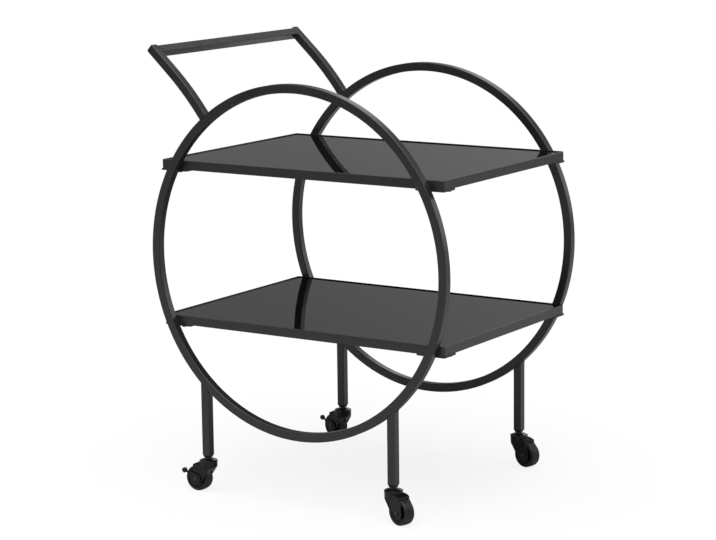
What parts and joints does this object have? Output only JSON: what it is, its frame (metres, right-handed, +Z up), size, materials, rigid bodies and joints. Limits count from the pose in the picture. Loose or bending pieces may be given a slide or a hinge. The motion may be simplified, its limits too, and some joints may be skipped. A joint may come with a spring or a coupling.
{
  "type": "serving cart",
  "caption": "Black ring-sided serving cart with framed dark glass shelves, a raised push handle and swivel casters.",
  "frame": {"origin": "on the floor under the middle of the two rings", "axes": "+X along the cart away from the handle, -Y is the front, +Z up"},
  "size_m": [0.627, 0.4931, 0.8195],
  "materials": {
    "powder_coat": "satin black powder coat, fine texture",
    "black_glass": "polished, back-painted black",
    "black_plastic": "moulded, satin",
    "caster_plastic": "moulded nylon, semi-gloss",
    "tread": "smooth hard rubber",
    "black_zinc": "black zinc plated",
    "clear_pad": "soft clear bumper"
  },
  "bodies": {
    "cart_frame": {"front_ring": "powder_coat", "rear_ring": "powder_coat", "front_handle_arm": "powder_coat", "rear_handle_arm": "powder_coat", "front_handle_plug": "black_plastic", "rear_handle_plug": "black_plastic", "handle_bar": "powder_coat", "upper_shelf_frame": "powder_coat", "upper_shelf_glass": "black_glass", "upper_glass_pads": "clear_pad", "upper_shelf_screws": "black_zinc", "upper_front_left_tab": "powder_coat", "upper_front_right_tab": "powder_coat", "upper_rear_left_tab": "powder_coat", "upper_rear_right_tab": "powder_coat", "lower_shelf_frame": "powder_coat", "lower_shelf_glass": "black_glass", "lower_glass_pads": "clear_pad", "lower_shelf_screws": "black_zinc", "lower_front_left_tab": "powder_coat", "lower_front_right_tab": "powder_coat", "lower_rear_left_tab": "powder_coat", "lower_rear_right_tab": "powder_coat", "front_left_leg": "powder_coat", "front_left_foot_insert": "black_plastic", "front_left_stem": "black_zinc", "front_left_cap": "caster_plastic", "front_right_leg": "powder_coat", "front_right_foot_insert": "black_plastic", "front_right_stem": "black_zinc", "front_right_cap": "caster_plastic", "rear_left_leg": "powder_coat", "rear_left_foot_insert": "black_plastic", "rear_left_stem": "black_zinc", "rear_left_cap": "caster_plastic", "rear_right_leg": "powder_coat", "rear_right_foot_insert": "black_plastic", "rear_right_stem": "black_zinc", "rear_right_cap": "caster_plastic", "stem_clips": "black_zinc"},
    "front_left_caster": {"front_left_fork": "caster_plastic", "front_left_axle": "black_zinc"},
    "front_left_wheel": {"front_left_hub": "caster_plastic", "front_left_tyre": "tread"},
    "front_left_brake": {"front_left_brake_lever": "caster_plastic"},
    "front_right_caster": {"front_right_fork": "caster_plastic", "front_right_axle": "black_zinc"},
    "front_right_wheel": {"front_right_hub": "caster_plastic", "front_right_tyre": "tread"},
    "rear_left_caster": {"rear_left_fork": "caster_plastic", "rear_left_axle": "black_zinc"},
    "rear_left_wheel": {"rear_left_hub": "caster_plastic", "rear_left_tyre": "tread"},
    "rear_left_brake": {"rear_left_brake_lever": "caster_plastic"},
    "rear_right_caster": {"rear_right_fork": "caster_plastic", "rear_right_axle": "black_zinc"},
    "rear_right_wheel": {"rear_right_hub": "caster_plastic", "rear_right_tyre": "tread"}
  },
  "joints": [
    {"name": "front_left_swivel", "type": "hinge", "parent": "cart_frame", "child": "front_left_caster", "pos_m": [-0.2026, -0.22545, 0.052], "axis": [0, 0, 1], "continuous": true},
    {"name": "front_left_roll", "type": "hinge", "parent": "front_left_caster", "child": "front_left_wheel", "pos_m": [-0.22309, -0.22617, 0.024], "axis": [0.0349, -0.9994, 0], "continuous": true},
    {"name": "front_left_brake_press", "type": "hinge", "parent": "front_left_caster", "child": "front_left_brake", "pos_m": [-0.22309, -0.22617, 0.024], "axis": [0.0349, -0.9994, 0], "range_deg": [0, 15]},
    {"name": "front_right_swivel", "type": "hinge", "parent": "cart_frame", "child": "front_right_caster", "pos_m": [0.1994, -0.22545, 0.052], "axis": [0, 0, 1], "continuous": true},
    {"name": "front_right_roll", "type": "hinge", "parent": "front_right_caster", "child": "front_right_wheel", "pos_m": [0.21911, -0.2311, 0.024], "axis": [0.2756, 0.9613, 0], "continuous": true},
    {"name": "rear_left_swivel", "type": "hinge", "parent": "cart_frame", "child": "rear_left_caster", "pos_m": [-0.2026, 0.22545, 0.052], "axis": [0, 0, 1], "continuous": true},
    {"name": "rear_left_roll", "type": "hinge", "parent": "rear_left_caster", "child": "rear_left_wheel", "pos_m": [-0.22257, 0.23006, 0.024], "axis": [-0.225, -0.9744, 0], "continuous": true},
    {"name": "rear_left_brake_press", "type": "hinge", "parent": "rear_left_caster", "child": "rear_left_brake", "pos_m": [-0.22257, 0.23006, 0.024], "axis": [-0.225, -0.9744, 0], "range_deg": [0, 15]},
    {"name": "rear_right_swivel", "type": "hinge", "parent": "cart_frame", "child": "rear_right_caster", "pos_m": [0.1994, 0.22545, 0.052], "axis": [0, 0, 1], "continuous": true},
    {"name": "rear_right_roll", "type": "hinge", "parent": "rear_right_caster", "child": "rear_right_wheel", "pos_m": [0.21945, 0.22119, 0.024], "axis": [0.2079, 0.9781, 0], "continuous": true}
  ]
}
